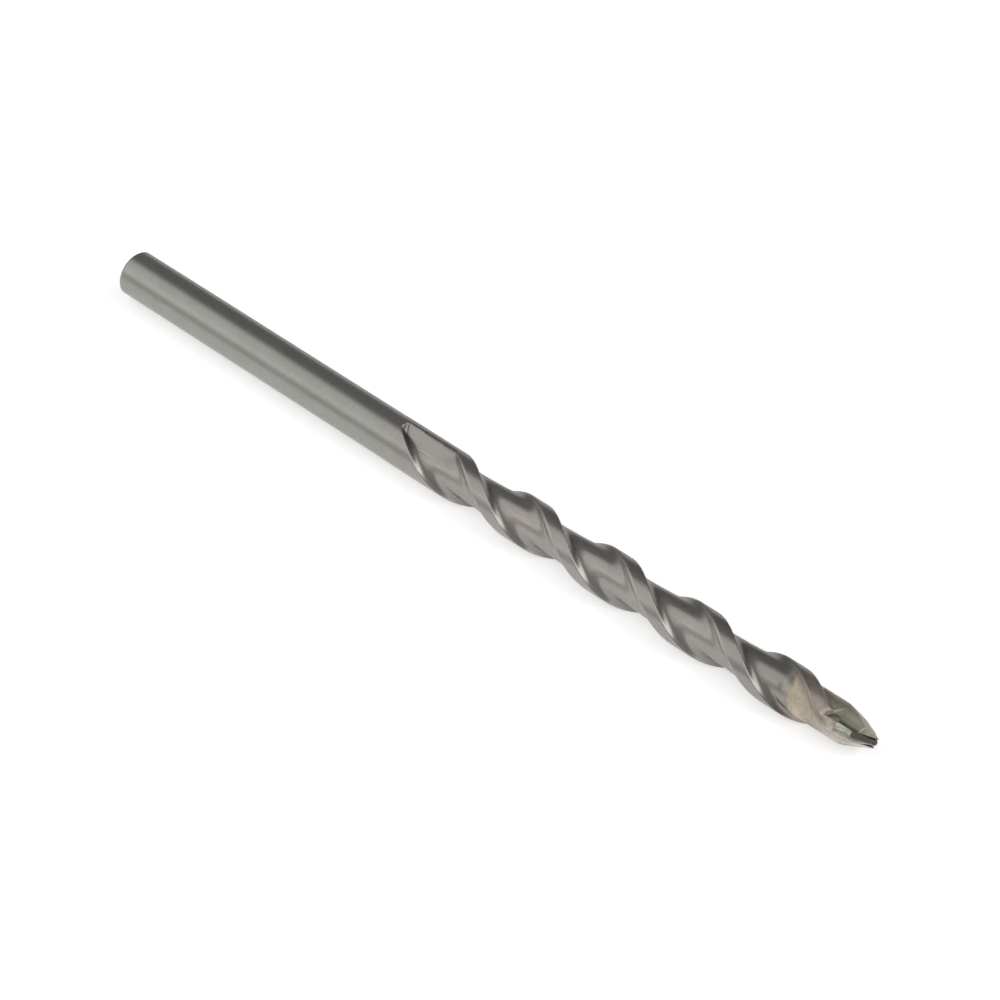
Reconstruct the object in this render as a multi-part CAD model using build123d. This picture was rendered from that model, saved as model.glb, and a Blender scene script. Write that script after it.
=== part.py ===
from build123d import *
import os
from math import cos, radians, sin, sqrt, tan

# Masonry drill bit with a brazed carbide tip, lying on a bench.
# It is modelled standing on its shank, with Z along the bit from the shank's end to the tip,
# and is laid down at the end. The carbide plate's width runs along X.
# The bit turns from +X towards +Y, so +Y is the leading side of the half at +X.

# Blank, with the fluted part a little thicker than the shank
overall_length = 150.0
land_diameter = 7.85
land_rise = 0.05
land_cone_length = 3.0
shank_chamfer = 0.4

# Flutes, as right-hand helices that run out straight beside the plate
flute_start = 59.0
flute_lead = 32.65
land_width = 2.9
flute_depth = 1.345
floor_shift = 0.285
floor_drop = 0.26
root_radius = 0.7
cutter_radius = 2.5
slowing_length = 1.2
twist_end_to_tip = 6.9

# Shallower flutes under the tip
head_flute_depth = 0.975
head_rise_to_tip = 19.5
head_full_to_tip = 13.0

# Flats tangent to a round core lie this much inside it, so that they blend along a narrow strip
tangent_sink = 0.04

# Carbide plate
plate_overhang = 0.175
plate_thickness = 1.4
plate_length = 5.7
point_angle = 108.0
lip_relief = 15.0

# Ground nose of the steel, as slopes of the sides against the axis
side_taper = 14.5
side_taper_turn = 14.0
side_taper_start_to_tip = 6.6
nose_taper = 25.0
nose_half_width = 2.07
nose_start_to_tip = 2.94
lip_step = 0.22

# Ground flat behind each cutting edge
relief_turn = 38.5
relief_start_to_tip = 7.9
relief_wall_slant = 37.0

# Brazing
braze_gap = 0.08
braze_base_gap = 0.28
braze_bead = 0.25
drop_radius = 1.25
drop_height = 0.22
drop_to_slot = 0.55

# How the bit lies: the plate's width leans this far from upright, seen from the tip
lie_angle = 226.2

# Margins and steps of construction
overcut = 1.0
guide_radius = 0.05
guide_steps = 10
run_in_middle = 50.0

land_radius = land_diameter / 2
shank_radius = land_radius - land_rise
core_radius = land_radius - flute_depth
floor_radius = sqrt(floor_shift**2 + (core_radius + floor_drop) ** 2)
floor_low = floor_radius - sqrt(floor_shift**2 + floor_drop**2)
head_core_radius = land_radius - head_flute_depth
plate_radius = land_radius + plate_overhang
plate_side = plate_thickness / 2
slot_side = plate_side + braze_gap
plate_base = overall_length - plate_length
slot_base = plate_base - braze_base_gap
twist_end = overall_length - twist_end_to_tip
twist_slows = twist_end - slowing_length
tool_radius = land_radius + overcut
flute_bottom = flute_start - land_cone_length


def land_angle(height):
    """Angle of the land's middle: a steady lead, easing to no twist at the head."""
    rate = 360 / flute_lead
    if height <= twist_slows:
        return rate * (height - twist_slows) - rate * slowing_length / 2
    left = max(0.0, (twist_end - height) / slowing_length)
    return -rate * slowing_length / 2 * left**2


def beyond(origin, normal):
    """Everything on the far side of a plane, near enough to the bit to matter."""
    reach = 4 * land_diameter
    box = Box(reach, reach, reach, align=(Align.CENTER, Align.CENTER, Align.MIN))
    return Plane(origin=origin, z_dir=normal) * box


def turned_pair(shape):
    """A shape and its copy half a turn round the axis."""
    return [shape, Rot(0, 0, 180) * shape]


def revolved(outline):
    """Solid of revolution from corners given as radius and height."""
    profile = make_face(Polyline(*outline, close=True))
    return revolve(Plane.XZ * profile, Axis.Z)


def make_blank():
    """Round bar with a chamfered end, a little thicker over the fluted part."""
    return revolved([
        (0, 0),
        (shank_radius - shank_chamfer, 0),
        (shank_radius, shank_chamfer),
        (shank_radius, flute_start - land_cone_length),
        (land_radius, flute_start),
        (land_radius, overall_length),
        (0, overall_length),
    ])


def make_head_core():
    """What the cutter leaves as it lifts towards the head, where the web is thicker."""
    floor = floor_low - tangent_sink
    top = overall_length + 2 * overcut
    return revolved([
        (0, overall_length - head_rise_to_tip),
        (floor, overall_length - head_rise_to_tip),
        (head_core_radius, overall_length - head_full_to_tip),
        (head_core_radius, top),
        (0, top),
    ])


def make_run_in():
    """What the round cutter leaves at the flute's start, as a curved end wall."""
    floor = floor_low - tangent_sink
    centre_r = floor + cutter_radius
    centre_z = flute_start + sqrt(cutter_radius**2 - (centre_r - land_radius) ** 2)
    rim_z = centre_z - sqrt(cutter_radius**2 - (centre_r - tool_radius) ** 2)
    bottom = flute_bottom - overcut
    across = cutter_radius * cos(radians(run_in_middle))
    along = cutter_radius * sin(radians(run_in_middle))
    outside = tool_radius + overcut
    profile = make_face([
        Line((0, bottom), (outside, bottom)),
        Line((outside, bottom), (outside, rim_z)),
        Line((outside, rim_z), (tool_radius, rim_z)),
        ThreePointArc((tool_radius, rim_z), (centre_r - across, centre_z - along), (floor, centre_z)),
        Line((floor, centre_z), (0, centre_z)),
        Line((0, centre_z), (0, bottom)),
    ])
    return revolve(Plane.XZ * profile, Axis.Z)


def make_start_flat():
    """What stays under the flat floor where the flute begins, square to the land's middle."""
    floor = core_radius - tangent_sink
    outside = tool_radius + overcut
    height = flute_start + flute_lead / 2 - flute_bottom + overcut
    block = Box(floor + outside, outside, height, align=(Align.MIN, Align.MIN, Align.MIN))
    place = Pos(-floor, 0, flute_bottom - overcut)
    return Rot(0, 0, land_angle(flute_start)) * place * block


def flute_section():
    """One flute's section, from the leading wall of the land at +X to the land at -X.

    The walls are straight and meet the floor in a root arc. The floor is an arc round a centre
    beside the axis, so that the flute is shallow under the leading wall and deep at the other.
    """
    half = land_width / 2
    rim = sqrt(tool_radius**2 - half**2)
    centre = Vector(floor_shift, -floor_drop)
    reach = floor_radius + root_radius
    root_y = half + root_radius
    across = sqrt(reach**2 - (root_y - centre.Y) ** 2)
    arcs = []
    for side in (1, -1):
        middle = Vector(centre.X + side * across, root_y)
        foot = Vector(middle.X, half)
        root = centre + (middle - centre) * (floor_radius / reach)
        bend = middle + (foot - middle + root - middle).normalized() * root_radius
        arcs.append([(point.X, point.Y) for point in (foot, bend, root)])
    leading, trailing = arcs
    return make_face([
        Line((rim, half), leading[0]),
        ThreePointArc(*leading),
        ThreePointArc(leading[2], (centre.X, centre.Y + floor_radius), trailing[2]),
        ThreePointArc(*trailing[::-1]),
        Line(trailing[0], (-rim, half)),
        ThreePointArc((-rim, half), (0, tool_radius), (rim, half)),
    ])


def swept_span(section, bottom, top):
    """The section swept up the axis between two heights and turned by a guide beside it."""
    heights = [bottom + (top - bottom) * i / guide_steps for i in range(guide_steps + 1)]
    angles = [radians(land_angle(height)) for height in heights]
    guide = Spline(*[
        (guide_radius * cos(angle), guide_radius * sin(angle), height)
        for angle, height in zip(angles, heights)
    ])
    path = Line((0, 0, bottom), (0, 0, top))
    placed = Pos(0, 0, bottom) * Rot(0, 0, land_angle(bottom)) * section
    return Solid.sweep(placed.face(), path.edge(), mode=guide.edge())


def make_flute():
    """The cutter's path through the blank, in spans of about a third of a turn."""
    flat_end = flute_start + flute_lead / 2
    stops = [flute_bottom]
    for stop in (flat_end, twist_slows, twist_end, overall_length + overcut):
        parts = max(1, round((stop - stops[-1]) / (flute_lead / 3)))
        stops += [stops[-1] + (stop - stops[-1]) * (i + 1) / parts for i in range(parts)]
    section = flute_section()
    run_in = make_run_in()
    start_flat = make_start_flat()
    head_core = make_head_core()
    spans = []
    for bottom, top in zip(stops, stops[1:]):
        spans.append(swept_span(section, bottom, top) - run_in - start_flat - head_core)
    return spans


def make_nose_cuts():
    """Planes that grind the front: the lip, what each half has, and one side facet."""
    slope = 1 / tan(radians(point_angle / 2))
    tip = (0, 0, overall_length)
    lip = beyond(tip, (slope, -tan(radians(lip_relief)), 1))
    nose_corner = (0, nose_half_width, overall_length - nose_start_to_tip)
    nose = beyond(nose_corner, (0, 1, tan(radians(nose_taper))))
    lip_height = overall_length + plate_side * tan(radians(lip_relief)) - lip_step
    front = beyond((0, plate_side, lip_height), (slope, 1 / tan(radians(nose_taper)), 1))
    turn = radians(side_taper_turn)
    out = Vector(-sin(turn), -cos(turn), 0)
    side_start = out * head_core_radius + Vector(0, 0, overall_length - side_taper_start_to_tip)
    side = beyond(side_start, out + Vector(0, 0, tan(radians(side_taper))))
    return lip, [nose, front], side


def relief_plane():
    """Plane of the flat behind the lip, with X square to its slanted end wall."""
    floor = head_core_radius - tangent_sink
    turn = radians(relief_turn)
    out = Vector(cos(turn), -sin(turn), 0)
    back = Vector(-sin(turn), -cos(turn), 0)
    along = (floor * sin(turn) - plate_side) / cos(turn)
    start = out * floor - back * along + Vector(0, 0, overall_length - relief_start_to_tip)
    slant = radians(relief_wall_slant)
    square = Vector(0, 0, cos(slant)) - back * sin(slant)
    return Plane(origin=start, x_dir=square, z_dir=out)


def make_relief():
    """Ground flat on the trailing side of the plate, from the slanted wall to the tip."""
    reach = 4 * land_diameter
    block = relief_plane() * Box(
        reach, reach, tool_radius, align=(Align.MIN, Align.CENTER, Align.MIN)
    )
    return block & beyond((0, -plate_side, 0), (0, -1, 0)).moved(Pos(0, 0, overall_length))


def make_plate(lip_cuts):
    """Carbide plate: flat sides, edges ground round and a roof with two relieved lips."""
    block = Box(
        2 * plate_radius, plate_thickness, plate_length + overcut,
        align=(Align.CENTER, Align.CENTER, Align.MIN),
    )
    round_edge = Cylinder(
        plate_radius, plate_length + overcut, align=(Align.CENTER, Align.CENTER, Align.MIN)
    )
    return Pos(0, 0, plate_base) * (block & round_edge) - lip_cuts


def make_slot():
    """Sawn slot across the head, with room for the filler round the plate."""
    height = overall_length - slot_base + overcut
    block = Box(
        2 * tool_radius, 2 * slot_side, height, align=(Align.CENTER, Align.CENTER, Align.MIN)
    )
    return Pos(0, 0, slot_base) * block


def make_bead():
    """Filler in the corner between the relief flat and the plate's trailing side."""
    flat = relief_plane()
    turn = radians(relief_turn)
    foot = Vector(flat.origin.X, -plate_side)
    up = foot + Vector(braze_bead, 0)
    along = foot + Vector(-sin(turn), -cos(turn)) * braze_bead
    corner = make_face(Polyline((foot.X, foot.Y), (up.X, up.Y), (along.X, along.Y), close=True))
    return Pos(0, 0, plate_base) * extrude(corner, plate_length)


def make_drop():
    """Frozen drop of filler on the land, at the slot's inner end."""
    centre = land_radius + drop_height - drop_radius
    return Pos(centre, 0, slot_base - drop_to_slot) * Sphere(drop_radius)


lip, ground, side = make_nose_cuts()
lip_cuts = turned_pair(lip)
nose_cuts = lip_cuts + [copy for cut in ground for copy in turned_pair(cut)] + [side]

carbide_tip = make_plate(lip_cuts)

steel = make_blank()
for span in make_flute():
    steel = steel - turned_pair(span)
steel = steel - nose_cuts - turned_pair(make_relief())
slot = make_slot()
steel_body = steel - slot

film = (steel & slot) - carbide_tip
beads = [bead - nose_cuts for bead in turned_pair(make_bead())]
drops = [drop - steel - carbide_tip for drop in turned_pair(make_drop())]
braze_joint = film + beads + drops

lay_down = Pos(-overall_length / 2, 0, land_radius) * Rot(0, 90, 0) * Rot(0, 0, lie_angle)
pieces = {
    "steel_body": steel_body,
    "carbide_tip": carbide_tip,
    "braze_joint": braze_joint,
}

os.makedirs("parts", exist_ok=True)
for name, piece in pieces.items():
    export_step(lay_down * piece, f"parts/{name}.step")
    print(name, "volume", round(piece.volume, 2), "solids", len(piece.solids()))
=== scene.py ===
from math import cos, pi, radians, sin, sqrt, tan

import bpy
import numpy as np
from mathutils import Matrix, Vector


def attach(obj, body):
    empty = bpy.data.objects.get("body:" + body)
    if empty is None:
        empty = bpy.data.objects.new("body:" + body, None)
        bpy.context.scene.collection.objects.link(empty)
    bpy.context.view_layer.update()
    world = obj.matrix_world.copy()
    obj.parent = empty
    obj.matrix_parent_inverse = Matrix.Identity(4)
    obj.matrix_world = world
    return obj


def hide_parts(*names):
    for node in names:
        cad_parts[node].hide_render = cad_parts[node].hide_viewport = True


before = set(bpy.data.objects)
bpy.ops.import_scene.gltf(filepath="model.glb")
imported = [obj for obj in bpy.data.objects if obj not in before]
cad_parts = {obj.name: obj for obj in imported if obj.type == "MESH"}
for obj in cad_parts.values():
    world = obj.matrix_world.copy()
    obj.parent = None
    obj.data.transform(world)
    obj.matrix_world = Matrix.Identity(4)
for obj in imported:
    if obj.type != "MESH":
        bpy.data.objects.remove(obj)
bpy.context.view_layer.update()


# The studio: a pale floor under a soft sky, with softboxes over the shank and behind the tip.
# The camera looks down on the bit from its tip's side, as in the photograph.
AXIS_HEIGHT = 0.003925
SHANK_END = -0.075

CAMERA_AIM = 0.07853
CAMERA_SHIFT = (0.000306, 0.000481)
CAMERA_TILT = 24.4
CAMERA_HEIGHT = 49.8
CAMERA_DISTANCE = 0.4508
CAMERA_LENS = 104.8


def linear(colour):
    """An sRGB hex colour as linear red, green, blue and a full alpha."""
    parts = [int(colour[i:i + 2], 16) / 255 for i in (1, 3, 5)]
    return tuple(c / 12.92 if c <= 0.04045 else ((c + 0.055) / 1.055) ** 2.4 for c in parts) + (1,)


def add_node(tree, kind, settings=(), **links):
    """Adds one node with its settings and socket values; a socket's value may be another socket."""
    node = tree.nodes.new(kind)
    for name, value in dict(settings).items():
        setattr(node, name, value)
    for name, value in links.items():
        key = int(name[1:]) if name[0] == "_" else name.replace("_", " ")
        if isinstance(value, bpy.types.NodeSocket):
            tree.links.new(value, node.inputs[key])
        else:
            node.inputs[key].default_value = value
    return node


def put_in(name, vertices, faces, smooth=True):
    """A mesh object at the origin, from an array of vertices in metres and faces of 3 or 4 corners."""
    mesh = bpy.data.meshes.new(name)
    mesh.from_pydata(vertices.tolist(), [], faces)
    mesh.polygons.foreach_set("use_smooth", [smooth] * len(mesh.polygons))
    thing = bpy.data.objects.new(name, mesh)
    bpy.context.scene.collection.objects.link(thing)
    return thing


toward_tip = sin(radians(CAMERA_TILT))
upward = sin(radians(CAMERA_HEIGHT))
toward_camera = Vector((toward_tip, -sqrt(1 - toward_tip**2 - upward**2), upward))
camera_turn = toward_camera.to_track_quat("Z", "Y")
camera = bpy.data.objects.new("camera", bpy.data.cameras.new("camera"))
bpy.context.scene.collection.objects.link(camera)
aim = Vector((SHANK_END + CAMERA_AIM, 0, AXIS_HEIGHT))
aim += camera_turn @ Vector((CAMERA_SHIFT[0], CAMERA_SHIFT[1], 0))
camera.location = aim + CAMERA_DISTANCE * toward_camera
camera.rotation_mode = "QUATERNION"
camera.rotation_quaternion = camera_turn
camera.data.lens = CAMERA_LENS
camera.data.clip_start = 0.01
camera.data.clip_end = 10
bpy.context.scene.camera = camera
bpy.context.scene.view_settings.view_transform = "Standard"

FLOOR_HALF = 3.0
floor = put_in(
    "floor",
    FLOOR_HALF * np.array([(-1, -1, 0), (1, -1, 0), (1, 1, 0), (-1, 1, 0)]),
    [(0, 1, 2, 3)],
)

# Matt white paper. It scatters the light, and what the camera sees of it is lifted towards white,
# with the shadow kept as a soft grey. The metal sees that lift in front of the bit only.
CAMERA_LIFT = 0.48
GLOSSY_LIFT = 0.5
LIFT_EDGE = 0.004
paper = bpy.data.materials.new("matt_white_paper")
paper.use_nodes = True
tree = paper.node_tree
tree.nodes.clear()
scatter = add_node(tree, "ShaderNodeBsdfDiffuse", Color=linear("#f4f4f4"))
path = add_node(tree, "ShaderNodeLightPath").outputs
spot = add_node(tree, "ShaderNodeTexCoord").outputs["Object"]
across = add_node(tree, "ShaderNodeSeparateXYZ", Vector=spot).outputs["Y"]
in_front = add_node(
    tree, "ShaderNodeMapRange", Value=across,
    From_Min=LIFT_EDGE, From_Max=-LIFT_EDGE, To_Max=GLOSSY_LIFT,
)
by_metal = add_node(
    tree, "ShaderNodeMath", {"operation": "MULTIPLY"},
    _0=path["Is Glossy Ray"], _1=in_front.outputs[0],
)
seen = add_node(
    tree, "ShaderNodeMath", {"operation": "MAXIMUM"},
    _0=path["Is Camera Ray"], _1=path["Is Transmission Ray"],
)
strength = add_node(
    tree, "ShaderNodeMath", {"operation": "MULTIPLY_ADD"},
    _0=seen.outputs[0], _1=CAMERA_LIFT, _2=by_metal.outputs[0],
)
lift = add_node(tree, "ShaderNodeEmission", Color=(1, 1, 1, 1), Strength=strength.outputs[0])
both = add_node(tree, "ShaderNodeAddShader", _0=scatter.outputs[0], _1=lift.outputs[0])
add_node(tree, "ShaderNodeOutputMaterial", Surface=both.outputs[0])
floor.data.materials.append(paper)

# Softboxes in a plain grey studio: azimuth from the front towards the tip, height, half width and
# soft edge in degrees, then strength. The last two are dark flags behind the bit.
SKY_LEVEL = 0.62
SOFTBOXES = (
    (-52, 52, 24, 16, 0.82),
    (-38, 18, 14, 18, 0.35),
    (120, 45, 12, 12, 2.7),
    (-145, 30, 30, 30, -0.27),
    (172, 22, 12, 26, -0.14),
)
world = bpy.data.worlds.new("soft_sky")
world.use_nodes = True
tree = world.node_tree
tree.nodes.clear()
sky_way = add_node(tree, "ShaderNodeTexCoord").outputs["Generated"]
level = SKY_LEVEL
for azimuth, height, half, edge, strength in SOFTBOXES:
    flat = cos(radians(height))
    axis = (flat * sin(radians(azimuth)), -flat * cos(radians(azimuth)), sin(radians(height)))
    facing = add_node(tree, "ShaderNodeVectorMath", {"operation": "DOT_PRODUCT"}, _0=sky_way, _1=axis)
    lobe = add_node(
        tree, "ShaderNodeMapRange", {"interpolation_type": "SMOOTHSTEP"},
        Value=facing.outputs["Value"], From_Min=cos(radians(half + edge)),
        From_Max=cos(radians(half)), To_Min=0.0, To_Max=strength,
    )
    level = add_node(tree, "ShaderNodeMath", {"operation": "ADD"}, _0=level, _1=lobe.outputs[0])
    level = level.outputs[0]
white_for_camera = add_node(
    tree, "ShaderNodeMix", _0=add_node(tree, "ShaderNodeLightPath").outputs["Is Camera Ray"],
    _2=level, _3=1.0,
)
sky = add_node(tree, "ShaderNodeBackground", Strength=white_for_camera.outputs[0])
add_node(tree, "ShaderNodeOutputWorld", Surface=sky.outputs[0])
bpy.context.scene.world = world


# The steel bar: shank, fluted part and slotted head are one bar of hardened steel.
# It was turned, its two flutes were milled along a helix, and the head was slotted, then ground
# with the plate already brazed in. Sizes are in millimetres, with Z from the shank's end to the tip.
LENGTH = 150.0
LAND_RADIUS = 3.925
SHANK_RADIUS = 3.875
SHANK_CHAMFER = 0.4
CONE_LENGTH = 3.0
FLUTE_START = 59.0
LEAD = 32.65
LAND_HALF = 1.45
FLOOR_SHIFT = 0.285
FLOOR_DROP = 0.26
CORE_RADIUS = 2.58
ROOT_ROUND = 0.9
TWIST_END = 143.1
SLOWING = 1.2
CUTTER_RADIUS = 2.5
FLAT_FLOOR = 2.54
HEAD_CORE = 2.95
HEAD_RISE = 130.5
HEAD_FULL = 137.0
LIE_ANGLE = 226.2

# A cut passes the surface that it meets by the overlap.
OVERLAP = 0.04
FLOOR_RADIUS = sqrt(FLOOR_SHIFT**2 + (CORE_RADIUS + FLOOR_DROP) ** 2)
FLOOR_LOW = FLOOR_RADIUS - sqrt(FLOOR_SHIFT**2 + FLOOR_DROP**2) - OVERLAP

PLATE_SIDE = 0.7
SLOT_SIDE = 0.78
SLOT_BASE = 144.02
LIP_SLOPE = 1 / tan(radians(54))
LIP_RELIEF = tan(radians(15))
FRONT_DROP = 0.22
NOSE_OUT = 2.07
NOSE_DROP = 2.94
NOSE_TAPER = tan(radians(25))
SIDE_LENGTH = 6.6
SIDE_TAPER = tan(radians(14.5))
SIDE_TURN = radians(14)
RELIEF_LENGTH = 7.9
RELIEF_SIDE = 0.55
RELIEF_TURN = radians(38.5)
WALL_SLANT = radians(37)

# How far worn edges and milled corners are rounded. The leading edge of a land is worn most.
EDGE_WEAR = 0.16
LEADING_WEAR = 0.4
FACET_ROUND = 0.1
FLUTE_ROUND = 0.12
END_ROUND = 0.3
WALL_ROUND = 0.08
RELIEF_ROUND = 0.05

# A height where a cut has no effect counts as this far outside it.
FAR = 9.0


def land_angle(z):
    """The angle of the land's middle in radians: a steady helix that eases to no twist."""
    slows = TWIST_END - SLOWING
    left = np.clip((TWIST_END - z) / SLOWING, 0, 1)
    helix = (np.minimum(z, slows) - slows) - SLOWING / 2 * np.where(z > slows, left**2, 1)
    return 2 * pi / LEAD * helix


def soft_max(a, b, width):
    """The larger of two fields, rounded where they come within a width of each other."""
    near = np.maximum(width - np.abs(a - b), 0) / width
    return np.maximum(a, b) + near**2 * width / 4


def turned(x, y, angle):
    """Plan coordinates seen from a frame that is turned by an angle."""
    return x * np.cos(angle) + y * np.sin(angle), y * np.cos(angle) - x * np.sin(angle)


def plane(x, y, z, point, normal):
    """Distance above a plane through a point."""
    size = sqrt(sum(part**2 for part in normal))
    spots = ((x, point[0], normal[0]), (y, point[1], normal[1]), (z, point[2], normal[2]))
    return sum((value - start) * part for value, start, part in spots) / size


def relief_planes(u, v, z):
    """Distances inside the flat behind a lip, and inside its slanted end wall."""
    flat_out = HEAD_CORE - OVERLAP
    out = (cos(RELIEF_TURN), -sin(RELIEF_TURN))
    back = (-sin(RELIEF_TURN), -cos(RELIEF_TURN))
    along = (flat_out * sin(RELIEF_TURN) - PLATE_SIDE) / cos(RELIEF_TURN)
    start = (out[0] * flat_out - back[0] * along, out[1] * flat_out - back[1] * along)
    slanted = (-back[0] * sin(WALL_SLANT), -back[1] * sin(WALL_SLANT), cos(WALL_SLANT))
    ground = -plane(u, v, z, (start[0], start[1], 0), (out[0], out[1], 0))
    return ground, -plane(u, v, z, (start[0], start[1], LENGTH - RELIEF_LENGTH), slanted)


def steel_field(x, y, z):
    """Below zero inside the bar, above zero outside it, and about a distance in between.

    The round blank, less two flutes, less the planes of the ground head. A flute is what lies
    outside the land's straight wall and outside an off-centre floor circle, but not in the end
    wall left by the round cutter, the flat start or the thicker core under the head.
    """
    r = np.hypot(x, y)
    body = r - np.interp(z, [FLUTE_START - CONE_LENGTH, FLUTE_START], [SHANK_RADIUS, LAND_RADIUS])
    body = soft_max(body, (r + SHANK_CHAMFER - SHANK_RADIUS - z) * sqrt(0.5), FACET_ROUND)
    cutter_r = FLOOR_LOW + CUTTER_RADIUS
    cutter_z = FLUTE_START + sqrt(CUTTER_RADIUS**2 - (cutter_r - LAND_RADIUS) ** 2)
    end_wall = np.maximum(z - cutter_z, CUTTER_RADIUS - np.hypot(r - cutter_r, z - cutter_z))
    head_core = r - np.interp(z, [HEAD_RISE, HEAD_FULL], [FLOOR_LOW, HEAD_CORE])
    head_core = np.where(z < HEAD_RISE, FAR, head_core)
    tx, ty = turned(x, y, land_angle(z))
    fx, fy = turned(x, y, land_angle(np.float64(FLUTE_START)))
    for side in (1, -1):
        wall = LAND_HALF - side * ty
        floor_arc = FLOOR_RADIUS - np.hypot(side * tx - FLOOR_SHIFT, side * ty + FLOOR_DROP)
        cut = soft_max(wall, floor_arc, ROOT_ROUND)
        flat = np.maximum(-FLAT_FLOOR - side * fx, -side * fy)
        flat = np.where(z > FLUTE_START + LEAD / 2, FAR, flat)
        cut = soft_max(cut, -flat, FLUTE_ROUND)
        cut = soft_max(cut, -end_wall, END_ROUND)
        cut = soft_max(cut, -head_core, FLUTE_ROUND)
        body = soft_max(body, -cut, np.where(side * tx > 0, LEADING_WEAR, EDGE_WEAR))
    for side in (1, -1):
        u, v = side * x, side * y
        lip = plane(u, v, z, (0, 0, LENGTH), (LIP_SLOPE, -LIP_RELIEF, 1))
        nose = plane(u, v, z, (0, NOSE_OUT, LENGTH - NOSE_DROP), (0, 1, NOSE_TAPER))
        lip_height = LENGTH + PLATE_SIDE * LIP_RELIEF - FRONT_DROP
        front = plane(u, v, z, (0, PLATE_SIDE, lip_height), (LIP_SLOPE, 1 / NOSE_TAPER, 1))
        for facet in (lip, nose, front):
            body = soft_max(body, facet, FACET_ROUND)
        ground, wall = relief_planes(u, v, z)
        relief = soft_max(soft_max(ground, wall, WALL_ROUND), v + RELIEF_SIDE, RELIEF_ROUND)
        body = soft_max(body, -relief, FACET_ROUND)
    side_out = (-sin(SIDE_TURN), -cos(SIDE_TURN))
    side_start = (side_out[0] * HEAD_CORE, side_out[1] * HEAD_CORE, LENGTH - SIDE_LENGTH)
    return soft_max(body, plane(x, y, z, side_start, (*side_out, SIDE_TAPER)), FACET_ROUND)


def spread(stops):
    """Values from stop to stop, each pair split into the number of steps that follows it."""
    values = [np.linspace(a, b, n, endpoint=False) for (a, n), (b, _) in zip(stops, stops[1:])]
    return np.concatenate(values + [[stops[-1][0]]])


def on_bench(x, y, z):
    """Points of the bit's own frame, in millimetres, as points of the row, in metres."""
    turn = radians(LIE_ANGLE)
    across = x * sin(turn) + y * cos(turn)
    up = y * sin(turn) - x * cos(turn) + LAND_RADIUS
    return np.stack([z - LENGTH / 2, across, up], -1).reshape(-1, 3) / 1000


RAY_REACH = 4.4
HALVINGS = 26
END_RINGS = 5


def rays(field, z, angle):
    """A grid of points where a field is zero, one on each ray square to the axis.

    Halving finds each ray's radius. Rings of the first radius are added inside the flat end.
    """
    low, high = np.zeros_like(angle), np.full_like(angle, RAY_REACH)
    for _ in range(HALVINGS):
        middle = (low + high) / 2
        inside = field(middle * np.cos(angle), middle * np.sin(angle), z) < 0
        low, high = np.where(inside, middle, low), np.where(inside, high, middle)
    radius = (low + high) / 2
    rings = radius[0] * np.linspace(0, 1, END_RINGS + 2)[1:-1, None]
    radius = np.concatenate([rings, radius])
    angle = np.concatenate([angle[:1].repeat(END_RINGS, 0), angle])
    z = np.concatenate([z[:1].repeat(END_RINGS, 0), z])
    return radius * np.cos(angle), radius * np.sin(angle), z


# The bar's grid: degrees from the land's middle and heights, each with its number of steps to the
# next. It is closest at the land's edges, in the flutes' start and in the head.
EDGE_ANGLE = np.degrees(np.arcsin(LAND_HALF / LAND_RADIUS))
EDGE_BAND = 1.6
BAR_ANGLES = (
    (-90, 10), (-58, 9), (-36, 9), (-EDGE_ANGLE - EDGE_BAND, 9), (-EDGE_ANGLE + EDGE_BAND, 13),
    (EDGE_ANGLE - EDGE_BAND, 9), (EDGE_ANGLE + EDGE_BAND, 9), (36, 9), (58, 10), (90, 0),
)
BAR_HEIGHTS = (
    (0, 8), (0.6, 18), (55.5, 8), (58.4, 62), (66, 140), (129, 40), (141, 30), (143.4, 78),
    (149.9, 0),
)


def bar_surface():
    """The bar on a grid of heights by angles that turn with the lands."""
    half_turn = spread(BAR_ANGLES)[:-1]
    columns = np.radians(np.concatenate([half_turn, half_turn + 180]))
    grid_z = spread(BAR_HEIGHTS)[:, None] + 0 * columns
    twist = land_angle(np.maximum(grid_z, FLUTE_START - CONE_LENGTH))
    return rays(steel_field, grid_z, twist + columns)


def closed_tube(x, y, z):
    """Vertices and faces of a grid that closes round its columns and ends in two poles."""
    rows, columns = x.shape
    points = on_bench(x, y, z)
    poles = on_bench(np.zeros(2), np.zeros(2), np.array([z[0, 0], z[-1, 0]]))
    vertices = np.concatenate([points, poles])
    index = np.arange(rows * columns).reshape(rows, columns)
    ahead = np.roll(index, -1, axis=1)
    quads = np.stack([index[:-1], ahead[:-1], ahead[1:], index[1:]], -1).reshape(-1, 4)
    first = np.stack([ahead[0], index[0], np.full(columns, rows * columns)], -1)
    last = np.stack([index[-1], ahead[-1], np.full(columns, rows * columns + 1)], -1)
    return vertices, quads.tolist() + first.tolist() + last.tolist()


bar = put_in("steel_bar", *closed_tube(*bar_surface()))


def box_around(name, low, high):
    """A box in the bit's own frame, from its low corner to its high one."""
    spans = zip(low, high)
    corners = np.stack(np.meshgrid(*spans, indexing="ij"), -1).reshape(-1, 3)
    faces = [(0, 1, 3, 2), (4, 6, 7, 5), (0, 4, 5, 1), (2, 3, 7, 6), (0, 2, 6, 4), (1, 5, 7, 3)]
    return put_in(name, on_bench(*corners.T), faces, smooth=False)


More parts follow.
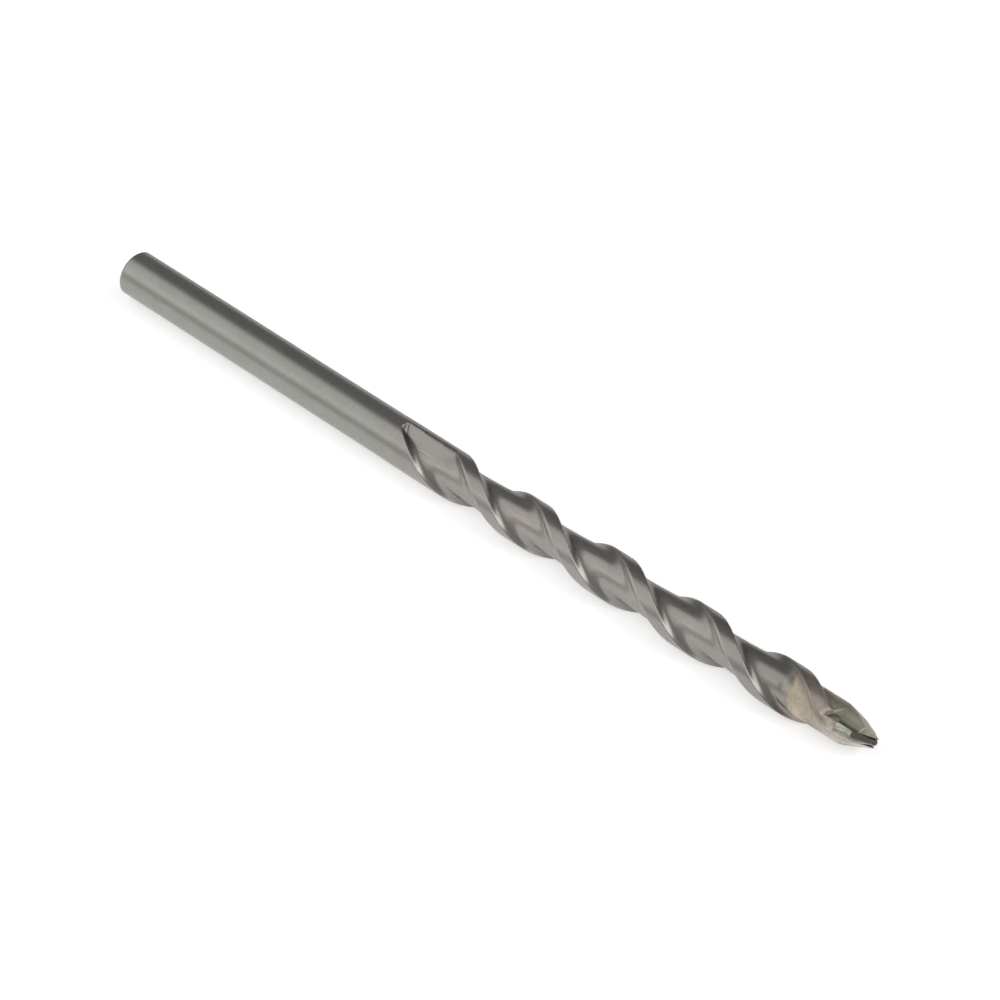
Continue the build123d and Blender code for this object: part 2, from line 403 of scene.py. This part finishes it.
# The slot is sawn right through, so the saw is wider than the bar and taller than its tip.
SAW_REACH = 6
SAW_TOP = 153
SHARP_STEEL = radians(40)
saw = box_around("slot_saw", (-SAW_REACH, -SLOT_SIDE, SLOT_BASE), (SAW_REACH, SLOT_SIDE, SAW_TOP))
slot_cut = bar.modifiers.new("slot", "BOOLEAN")
slot_cut.object = saw
slot_cut.operation = "DIFFERENCE"
slot_cut.solver = "EXACT"
bpy.context.view_layer.update()
cut_mesh = bpy.data.meshes.new_from_object(bar.evaluated_get(bpy.context.evaluated_depsgraph_get()))
bar.modifiers.clear()
bar.data = cut_mesh
bpy.data.objects.remove(saw)
bar.data.set_sharp_from_angle(angle=SHARP_STEEL)


def own_frame(thing):
    """An object's vertices as x, y and z of the bit's own frame, in millimetres."""
    flat = np.empty(len(thing.data.vertices) * 3)
    thing.data.vertices.foreach_get("co", flat)
    turn = radians(LIE_ANGLE)
    along, across, up = flat.reshape(-1, 3).T * 1000
    up = up - LAND_RADIUS
    x = across * sin(turn) - up * cos(turn)
    y = across * cos(turn) + up * sin(turn)
    return np.stack([x, y, along + LENGTH / 2])


def give_values(thing, name, values):
    """Stores one number for each vertex, which the material reads by its name."""
    attribute = thing.data.attributes.new(name, "FLOAT", "POINT")
    attribute.data.foreach_set("value", np.clip(values, 0, 1).astype(np.float32))


def rise(value, start, full):
    """A number that goes straight from 0 at the start to 1 where it is full."""
    return np.clip((value - start) / (full - start), 0, 1)


# Where the bar is worn, lighter on its edges partly as a painted highlight, and where shade is
# painted in its roots: the field's bend is one over a radius, positive on edges and negative in
# roots. Each pair goes from where a zone starts to where it is full.
FIELD_STEP = 0.12
WORN_AND_SHEEN_BEND = (0.6, 3.6)
ROOT_BEND = (-0.1, -1.6)
MILLED_RADIUS = (LAND_RADIUS - 0.06, LAND_RADIUS - 0.18)
MILLED_FROM = FLUTE_START - 1
own = own_frame(bar)
bend = -6 * steel_field(*own)
for axis in np.eye(3):
    shift = FIELD_STEP * axis[:, None]
    bend = bend + steel_field(*(own + shift)) + steel_field(*(own - shift))
bend = bend / FIELD_STEP**2
x, y, z = own
r = np.hypot(x, y)
milled = rise(r, *MILLED_RADIUS)
give_values(bar, "wear_and_sheen", rise(bend, *WORN_AND_SHEEN_BEND))
give_values(bar, "root", rise(bend, *ROOT_BEND))
give_values(bar, "milled", milled * (z > MILLED_FROM))

# Flux and scale left by the heat, on both flutes alike. Angles are in degrees ahead of the land.
# In the flutes the light deposit spreads further across between two heights. On the lands it
# stays beside the plate. Next to each land's leading wall the deposit fades out and the browned
# stain is darkened, both as painted shade.
COAT_REACH = 84
COAT_MORE = 80
COAT_FADE = 16
COAT_AFTER_SHADE = (16, 42)
COAT_WIDENS = (135.2, 136.8)
COAT_NARROWS = (139.6, 138.8)
LAND_COAT = 0.75
PLATE_COAT = (142.0, 143.2)
COAT_BESIDE = (-30, 40)
COAT_BEYOND = 150
LAND_SHADE_SIDE = (0.5, 1.3)
LAND_SHADE_END = 40
land_x, land_y = turned(x, y, land_angle(z))
from_land = np.degrees(np.arctan2(land_y, land_x))
ahead = np.where(from_land < 0, from_land + 180, from_land)
reach = COAT_REACH + COAT_MORE * rise(z, *COAT_WIDENS) * rise(z, *COAT_NARROWS)
coated = rise(reach - ahead, 0, COAT_FADE) * rise(ahead, *COAT_AFTER_SHADE)
beside = (from_land > COAT_BESIDE[0]) & (from_land < COAT_BESIDE[1])
by_plate = beside | (np.abs(from_land) > COAT_BEYOND)
land_coat = LAND_COAT * rise(z, *PLATE_COAT) * by_plate
give_values(bar, "coated", milled * coated + (1 - milled) * land_coat)
give_values(bar, "land_side_shade", rise(np.abs(land_y), *LAND_SHADE_SIDE) * (ahead < LAND_SHADE_END))

# Soft round patches: strength, height, angle ahead of the land, and half widths in both. The
# dark ones are painted shade: a dark reflection of the ground under the bit, painted on the
# flutes. The chamfer at the shank's end is darkened too, as painted shade.
SHADE_PATCHES = (
    (0.8, 134.7, 43, 0.5, 13),
    (0.5, 133.7, 94, 0.5, 12),
    (0.95, 135.0, 159, 1.4, 6),
)
PALE_PATCHES = ((1.0, 137.9, 115, 1.3, 40),)
CHAMFER_SHADE = 0.6
CHAMFER_TOP = 0.42
CHAMFER_INSIDE = 3.2


def patches(places):
    """The sum of soft patches: strength times e to minus both squared distances over widths."""
    return sum(
        strength * np.exp(-((z - height) / tall) ** 2 - ((ahead - angle) / wide) ** 2)
        for strength, height, angle, tall, wide in places
    )


on_chamfer = (z < CHAMFER_TOP) & (r > CHAMFER_INSIDE)
give_values(bar, "painted_shade", patches(SHADE_PATCHES) + CHAMFER_SHADE * on_chamfer)
give_values(bar, "pale", patches(PALE_PATCHES))

# The ground flat behind each lip, a painted highlight on the ridge where its end wall meets the
# land, and painted shade next to the plate. Angles are round the axis, and wall and side distances
# in millimetres.
BEHIND_SHARE = 0.8
BEHIND_HEIGHT = (140.0, 141.5)
BEHIND_ANGLE = (100, 110)
BEHIND_RADIUS = (3.5, 3.2)
FLAT_STARTS = (-9, -11)
FLAT_ENDS = (-112, -100)
FLAT_WALL = (0.1, -0.15)
RIDGE_PLACE = 0.03
RIDGE_ANGLES = (-62, -4)
RIDGE_RADIUS = (3.0, 3.3)
RIDGE_WIDTHS = (0.12, 0.26)
RIDGE_SHARES = (0.6, 1.0)
SHADE_SIDE = (-1.9, -0.8)
SHADE_WALL = (-0.35, -0.85)
SHADE_HEIGHT = (148.5, 147.9)
relief = BEHIND_SHARE * rise(z, *BEHIND_HEIGHT) * rise(ahead, *BEHIND_ANGLE) * rise(r, *BEHIND_RADIUS)
on_land = rise(r, *RIDGE_RADIUS)
ridge_width = RIDGE_WIDTHS[0] + (RIDGE_WIDTHS[1] - RIDGE_WIDTHS[0]) * on_land
ridge_share = RIDGE_SHARES[0] + (RIDGE_SHARES[1] - RIDGE_SHARES[0]) * on_land
ridge_highlight = 0
shade = 0
for side in (1, -1):
    u, v = side * x, side * y
    angle = np.degrees(np.arctan2(v, u))
    wall = relief_planes(u, v, z)[1]
    relief = relief + rise(wall, *FLAT_WALL) * rise(angle, *FLAT_STARTS) * rise(angle, *FLAT_ENDS)
    on_ridge = (angle > RIDGE_ANGLES[0]) & (angle < RIDGE_ANGLES[1])
    ridge_highlight = ridge_highlight + ridge_share * np.exp(-((wall - RIDGE_PLACE) / ridge_width) ** 2) * on_ridge
    near_plate = rise(v, *SHADE_SIDE) * (v < 0) * (u > 0)
    shade = shade + near_plate * rise(wall, *SHADE_WALL) * rise(z, *SHADE_HEIGHT)
give_values(bar, "relief", relief)
give_values(bar, "ridge_highlight", ridge_highlight)
give_values(bar, "shade", shade)

# The noise's own roughness, and the part of its range that a soft step across all of it takes.
GRAIN_ROUGHNESS = 0.6
GRAIN_SPAN = (0.3, 0.7)


def feeds_of(tree, attributes, patterns):
    """What a material can follow, by name.

    Its place, the height along the bit in millimetres, the numbers that the mesh carries, and
    patterns on object coordinates. A pattern has a name, its grain's size in millimetres along
    each axis, and its detail.
    """
    place = add_node(tree, "ShaderNodeTexCoord").outputs["Object"]
    along = add_node(tree, "ShaderNodeSeparateXYZ", Vector=place).outputs["X"]
    height = add_node(
        tree, "ShaderNodeMath", {"operation": "MULTIPLY_ADD"}, _0=along, _1=1000.0, _2=LENGTH / 2
    )
    feeds = {"place": place, "height": height.outputs[0]}
    for name in attributes:
        feeds[name] = add_node(tree, "ShaderNodeAttribute", {"attribute_name": name}).outputs["Fac"]
    for name, sizes, detail in patterns:
        scaled = add_node(
            tree, "ShaderNodeVectorMath", {"operation": "MULTIPLY"},
            _0=place, _1=[1000 / size for size in sizes],
        )
        noise = add_node(
            tree, "ShaderNodeTexNoise", Vector=scaled.outputs[0], Scale=1.0, Detail=detail,
            Roughness=GRAIN_ROUGHNESS,
        )
        feeds[name] = noise.outputs["Fac"]
    return feeds


def painted(tree, feeds, steps, layers):
    """Colours laid over each other, by name.

    A step has a name, the feed that it follows, and the two values of it between which it goes
    smoothly from 0 to 1. A layer has a name, the colour below, its share, the feeds that this is
    multiplied by, and its own colour. A colour is sRGB hex or the name of a layer before it.
    """
    for name, feed, start, full in steps:
        step = add_node(
            tree, "ShaderNodeMapRange", {"interpolation_type": "SMOOTHSTEP"},
            Value=feeds[feed], From_Min=start, From_Max=full,
        )
        feeds[name] = step.outputs[0]
    colours = {}
    for name, below, share, follows, above in layers:
        for feed in follows.split():
            cover = add_node(
                tree, "ShaderNodeMath", {"operation": "MULTIPLY"}, _0=feeds[feed], _1=share
            )
            share = cover.outputs[0]
        pair = [linear(part) if part[0] == "#" else colours[part] for part in (below, above)]
        mixed = add_node(
            tree, "ShaderNodeMix", {"data_type": "RGBA"}, _0=share, _6=pair[0], _7=pair[1]
        )
        colours[name] = mixed.outputs[2]
    return colours


# Ground and milled tool steel. Rings of fine grinding marks make the shank satin, milling lines
# run along the flutes, edges are worn bright with a painted highlight, and the head is stained by
# heat and flux. Shade is painted in the roots, beside the lands, in dark patches and next to the
# plate, and a highlight on the ridge. The rings are drawn wider than real grinding marks, so that
# they show.
STEEL_VALUES = (
    "milled", "relief", "wear_and_sheen", "root", "coated", "land_side_shade", "painted_shade", "pale", "ridge_highlight", "shade",
)
STEEL_PATTERNS = (
    ("cloud", (5, 3, 3), 3.0),
    ("rings", (0.07, 2.5, 2.5), 2.0),
    ("lines", (4, 0.16, 0.16), 2.0),
    ("specks", (0.35, 0.35, 0.35), 1.0),
    ("ragged", (1.1, 1.1, 1.1), 3.0),
    ("mottle", (2.2, 1.6, 1.6), 3.0),
    ("blotches", (0.45, 0.45, 0.45), 2.0),
)
HEAT_START = 134.9
HEAT_WANDER = 0.9
STEEL_STEPS = (
    ("shank_cloud", "cloud", 0.35, 0.65),
    ("flute_cloud", "cloud", 0.38, 0.62),
    ("brown_cloud", "cloud", 0.4, 0.6),
    ("flux_cloud", "mottle", 0.35, 0.65),
    ("fluted", "height", 57.0, 61.0),
    ("near_head", "height", 115.0, 133.0),
    ("heat", "heat_edge", HEAT_START - 0.5, HEAT_START + 0.5),
    ("pink_end", "height", 140.5, 143.5),
    ("white_end", "height", 146.2, 148.2),
    ("flat_end", "height", 144.0, 146.0),
    ("deep_marks", "marks", 0.62, 0.8),
    ("steel_specks", "specks", 0.7, 0.76),
    ("flat_specks", "specks", 0.6, 0.75),
    ("dark_blotches", "blotches", 0.48, 0.7),
)
# Of these layers, the darker ones in the roots, beside the lands' leading walls, in the dark patches,
# on the shank's chamfer and next to the plate are painted shade. The pale one on the edges is wear
# with a painted highlight, and the pale one on the ridge is a painted highlight.
STEEL_LAYERS = (
    ("shank", "#90928b", 1.0, "shank_cloud", "#969490"),
    ("flutes", "#93918c", 1.0, "flute_cloud", "#99938f"),
    ("flutes", "flutes", 0.14, "near_head", "#5b5651"),
    ("bar", "shank", 1.0, "fluted", "flutes"),
    ("bar", "bar", 0.25, "deep_marks", "#66635f"),
    ("bar", "bar", 0.4, "steel_specks", "#5d5a56"),
    ("bar", "bar", 0.5, "root", "#5b5651"),
    ("flux", "#b8ad94", 1.0, "flux_cloud", "#bfb3a2"),
    ("flux", "flux", 1.0, "pink_end", "#d6ccc4"),
    ("flux", "flux", 1.0, "white_end", "#f4f0ec"),
    ("flux", "flux", 0.8, "pale", "#d9ccb8"),
    ("browned", "#8b8277", 1.0, "brown_cloud", "#9a918a"),
    ("browned", "browned", 0.5, "land_side_shade", "#6a6059"),
    ("stain", "browned", 1.0, "coated", "flux"),
    ("bar", "bar", 1.0, "heat", "stain"),
    ("bar", "bar", 0.5, "heat dark_blotches", "#857b6e"),
    ("bar", "bar", 1.0, "painted_shade", "#47433a"),
    ("flat", "#a7a491", 1.0, "flat_end", "#b4b09e"),
    ("flat", "flat", 1.0, "flat_specks", "#858270"),
    ("flat", "flat", 0.6, "shade", "#6f6a5e"),
    ("bar", "bar", 1.0, "relief", "flat"),
    ("bar", "bar", 0.3, "wear_and_sheen", "#c4c1bb"),
    ("bar", "bar", 0.85, "ridge_highlight", "#cfc4b6"),
)
steel = bpy.data.materials.new("ground_and_milled_steel")
steel.use_nodes = True
tree = steel.node_tree
bsdf = tree.nodes["Principled BSDF"]
feeds = feeds_of(tree, STEEL_VALUES, STEEL_PATTERNS)
feeds["marks"] = add_node(
    tree, "ShaderNodeMix", {"data_type": "FLOAT"},
    _0=feeds["milled"], _2=feeds["rings"], _3=feeds["lines"],
).outputs[0]
wander = add_node(
    tree, "ShaderNodeMapRange", {"interpolation_type": "SMOOTHSTEP"}, Value=feeds["ragged"],
    From_Min=GRAIN_SPAN[0], From_Max=GRAIN_SPAN[1], To_Min=-HEAT_WANDER, To_Max=HEAT_WANDER,
)
feeds["heat_edge"] = add_node(
    tree, "ShaderNodeMath", {"operation": "ADD"}, _0=feeds["height"], _1=wander.outputs[0]
).outputs[0]
colours = painted(tree, feeds, STEEL_STEPS, STEEL_LAYERS)
tree.links.new(colours["bar"], bsdf.inputs["Base Color"])

# A film of flux and scale hides the metal: it is thickest where the deposit is light, and thin
# on the ridge and the ground flat in their own shares. On the ridge the film is part of the
# painted highlight. A film is rougher than bare steel.
FILM = (0.2, 0.75)
RIDGE_FILM = 0.9
FLAT_FILM = 0.3
FILM_ROUGHNESS = 0.25
STEEL_ROUGHNESS = (0.24, 0.34)
off_flat = add_node(tree, "ShaderNodeMath", {"operation": "SUBTRACT"}, _0=1.0, _1=feeds["relief"])
deposit = add_node(
    tree, "ShaderNodeMath", {"operation": "MULTIPLY"}, _0=feeds["coated"], _1=off_flat.outputs[0]
)
thick = add_node(
    tree, "ShaderNodeMapRange", {"interpolation_type": "SMOOTHSTEP"},
    Value=deposit.outputs[0], To_Min=FILM[0], To_Max=FILM[1],
)
film = add_node(
    tree, "ShaderNodeMath", {"operation": "MULTIPLY"}, _0=feeds["heat"], _1=thick.outputs[0]
)
for name, share in (("ridge_highlight", RIDGE_FILM), ("relief", FLAT_FILM)):
    own_film = add_node(
        tree, "ShaderNodeMath", {"operation": "MULTIPLY"}, _0=feeds[name], _1=share
    )
    film = add_node(
        tree, "ShaderNodeMath", {"operation": "MAXIMUM"}, _0=film.outputs[0], _1=own_film.outputs[0]
    )
bare = add_node(tree, "ShaderNodeMath", {"operation": "SUBTRACT"}, _0=1.0, _1=film.outputs[0])
tree.links.new(bare.outputs[0], bsdf.inputs["Metallic"])
satin = add_node(
    tree, "ShaderNodeMapRange", {"interpolation_type": "SMOOTHSTEP"},
    Value=feeds["marks"], From_Min=GRAIN_SPAN[0], From_Max=GRAIN_SPAN[1],
    To_Min=STEEL_ROUGHNESS[0], To_Max=STEEL_ROUGHNESS[1],
)
rough = add_node(
    tree, "ShaderNodeMath", {"operation": "MULTIPLY_ADD"},
    _0=film.outputs[0], _1=FILM_ROUGHNESS, _2=satin.outputs[0],
)
tree.links.new(rough.outputs[0], bsdf.inputs["Roughness"])
surface = add_node(tree, "ShaderNodeBump", Strength=0.35, Distance=0.000012, Height=feeds["marks"])
tree.links.new(surface.outputs[0], bsdf.inputs["Normal"])

bar.data.materials.clear()
bar.data.materials.append(steel)
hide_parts("steel_body")
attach(bar, "root")


# The carbide plate: one plate of sintered tungsten carbide, pressed, sintered and brazed in the
# slot, then ground. Its two lips form a roof, and its narrow sides are ground round.
PLATE_RADIUS = 4.1
PLATE_BASE = 144.3
PLATE_ROUND = 0.14
ROOF_ROUND = 0.25

# The point is blunted most on the axis, and as little as the other edges further out.
BLUNT_FROM = 1.0
BLUNT_TO = 2.6
BLUNT_MOST = 0.9

# Degrees round half the plate, and heights, each with its number of steps to the next.
MARGIN_ANGLES = ((-9.4, 12), (9.4, 0))
SIDE_ANGLES = ((-88, 60), (88, 0))
PLATE_HEIGHTS = (
    (PLATE_BASE + 0.005, 8), (PLATE_BASE + 0.12, 22), (146.8, 20), (147.4, 50), (149.91, 0),
)
SHARP_CARBIDE = radians(50)


def plate_field(x, y, z):
    """Below zero inside the plate: two flat sides, a round margin, a base and two relieved lips."""
    r = np.hypot(x, y)
    body = soft_max(np.abs(y) - PLATE_SIDE, r - PLATE_RADIUS, PLATE_ROUND)
    body = soft_max(body, PLATE_BASE - z, PLATE_ROUND)
    slope = (LIP_SLOPE, -LIP_RELIEF, 1)
    lips = [plane(side * x, side * y, z, (0, 0, LENGTH), slope) for side in (1, -1)]
    blunt = np.interp(r, [BLUNT_FROM, BLUNT_TO], [BLUNT_MOST, PLATE_ROUND])
    return soft_max(body, soft_max(*lips, ROOF_ROUND), blunt)


def plate_surface():
    """The plate on rays from its axis, whose angles are even steps along the plate's outline."""
    along_side = PLATE_RADIUS * np.sin(np.radians(spread(SIDE_ANGLES)))
    margin = np.radians(spread(MARGIN_ANGLES))[1:-1]
    half = np.concatenate([margin, np.arctan2(PLATE_SIDE, -along_side)])
    columns = np.concatenate([half, half + pi])
    z = spread(PLATE_HEIGHTS)[:, None]
    return rays(plate_field, z + 0 * columns, columns + 0 * z)


carbide = put_in("carbide_plate", *closed_tube(*plate_surface()))
carbide.data.set_sharp_from_angle(angle=SHARP_CARBIDE)

# The pale ground band: the whole rim, and less of it beside the leading edge, and the strip of
# each flat side along that edge.
RIM_RADIUS = (4.02, 4.07)
LEADING_SIDE = (0.2, 0.4)
RIM_LEADING = 0.6
SIDE_LEADING = 0.85
x, y, z = own_frame(carbide)
rim = rise(np.hypot(x, y), *RIM_RADIUS)
leading = rise(np.sign(x) * y, *LEADING_SIDE)
on_rim = 1 + (RIM_LEADING - 1) * leading
give_values(carbide, "margin", rim * on_rim + (1 - rim) * SIDE_LEADING * leading)

# Sintered carbide: dull and dark with a fine grain, and pale where the margin was ground.
CARBIDE_PATTERNS = (
    ("grain", (0.12, 0.12, 0.12), 4.0),
    ("streaks", (1.2, 0.18, 0.18), 2.0),
)
CARBIDE_STEPS = (
    ("fine_grain", "grain", 0.4, 0.68),
    ("wheel_marks", "streaks", 0.42, 0.6),
)
CARBIDE_LAYERS = (
    ("sintered", "#5b5650", 1.0, "fine_grain", "#726d65"),
    ("ground", "#94938b", 1.0, "wheel_marks", "#bfbeb6"),
    ("plate", "sintered", 1.0, "margin", "ground"),
)
SINTERED_ROUGHNESS = 0.48
GROUND_ROUGHNESS = 0.34
hard = bpy.data.materials.new("sintered_carbide")
hard.use_nodes = True
tree = hard.node_tree
bsdf = tree.nodes["Principled BSDF"]
feeds = feeds_of(tree, ("margin",), CARBIDE_PATTERNS)
colours = painted(tree, feeds, CARBIDE_STEPS, CARBIDE_LAYERS)
tree.links.new(colours["plate"], bsdf.inputs["Base Color"])
bsdf.inputs["Metallic"].default_value = 1
rough = add_node(
    tree, "ShaderNodeMapRange", {"interpolation_type": "SMOOTHSTEP"},
    Value=feeds["margin"], To_Min=SINTERED_ROUGHNESS, To_Max=GROUND_ROUGHNESS,
)
tree.links.new(rough.outputs[0], bsdf.inputs["Roughness"])
surface = add_node(tree, "ShaderNodeBump", Strength=0.5, Distance=0.00002, Height=feeds["grain"])
tree.links.new(surface.outputs[0], bsdf.inputs["Normal"])
carbide.data.materials.append(hard)
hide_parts("carbide_tip")
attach(carbide, "root")


# The filler: silver brazing alloy that ran round the plate, with a bead along the ground flat and
# a drop frozen on the land. It keeps the part's own mesh.
FILLER_STEPS = (
    ("drop_lumps", "lumps", 0.35, 0.65),
    ("joint_lumps", "lumps", 0.4, 0.6),
    ("past_drop", "height", 144.1, 144.4),
    ("near_tip", "height", 146.2, 147.2),
    ("off_flank", "lee", -2.6, -1.5),
)
FILLER_LAYERS = (
    ("drop", "#b0a49a", 1.0, "drop_lumps", "#c4b9af"),
    # The drop's darker colour on its flank is painted shade.
    ("drop", "#8a8371", 1.0, "off_flank", "drop"),
    ("joint", "#7d756b", 1.0, "joint_lumps", "#988f84"),
    ("filler", "drop", 1.0, "past_drop", "joint"),
    ("filler", "filler", 1.0, "near_tip", "#8d7c6e"),
)
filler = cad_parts["braze_joint"]

# Brazing alloy, dull and uneven from free cooling. The drop's flank in the relief is darker, as
# painted shade: it lies where the distances out along the plate and across it, multiplied, are
# well below zero.
alloy = bpy.data.materials.new("brazing_filler")
alloy.use_nodes = True
tree = alloy.node_tree
bsdf = tree.nodes["Principled BSDF"]
feeds = feeds_of(tree, (), (("lumps", (0.3, 0.3, 0.3), 3.0),))
turn = radians(LIE_ANGLE)
centred = add_node(
    tree, "ShaderNodeVectorMath", {"operation": "SUBTRACT"},
    _0=feeds["place"], _1=(0, 0, AXIS_HEIGHT),
)
ways = [
    add_node(
        tree, "ShaderNodeVectorMath", {"operation": "DOT_PRODUCT"},
        _0=centred.outputs[0], _1=(0, 1000 * across, 1000 * up),
    ).outputs["Value"]
    for across, up in ((sin(turn), -cos(turn)), (cos(turn), sin(turn)))
]
feeds["lee"] = add_node(
    tree, "ShaderNodeMath", {"operation": "MULTIPLY"}, _0=ways[0], _1=ways[1]
).outputs[0]
colours = painted(tree, feeds, FILLER_STEPS, FILLER_LAYERS)
tree.links.new(colours["filler"], bsdf.inputs["Base Color"])
bsdf.inputs["Metallic"].default_value = 1
bsdf.inputs["Roughness"].default_value = 0.6
surface = add_node(tree, "ShaderNodeBump", Strength=0.5, Distance=0.00004, Height=feeds["lumps"])
tree.links.new(surface.outputs[0], bsdf.inputs["Normal"])
filler.data.materials.clear()
filler.data.materials.append(alloy)
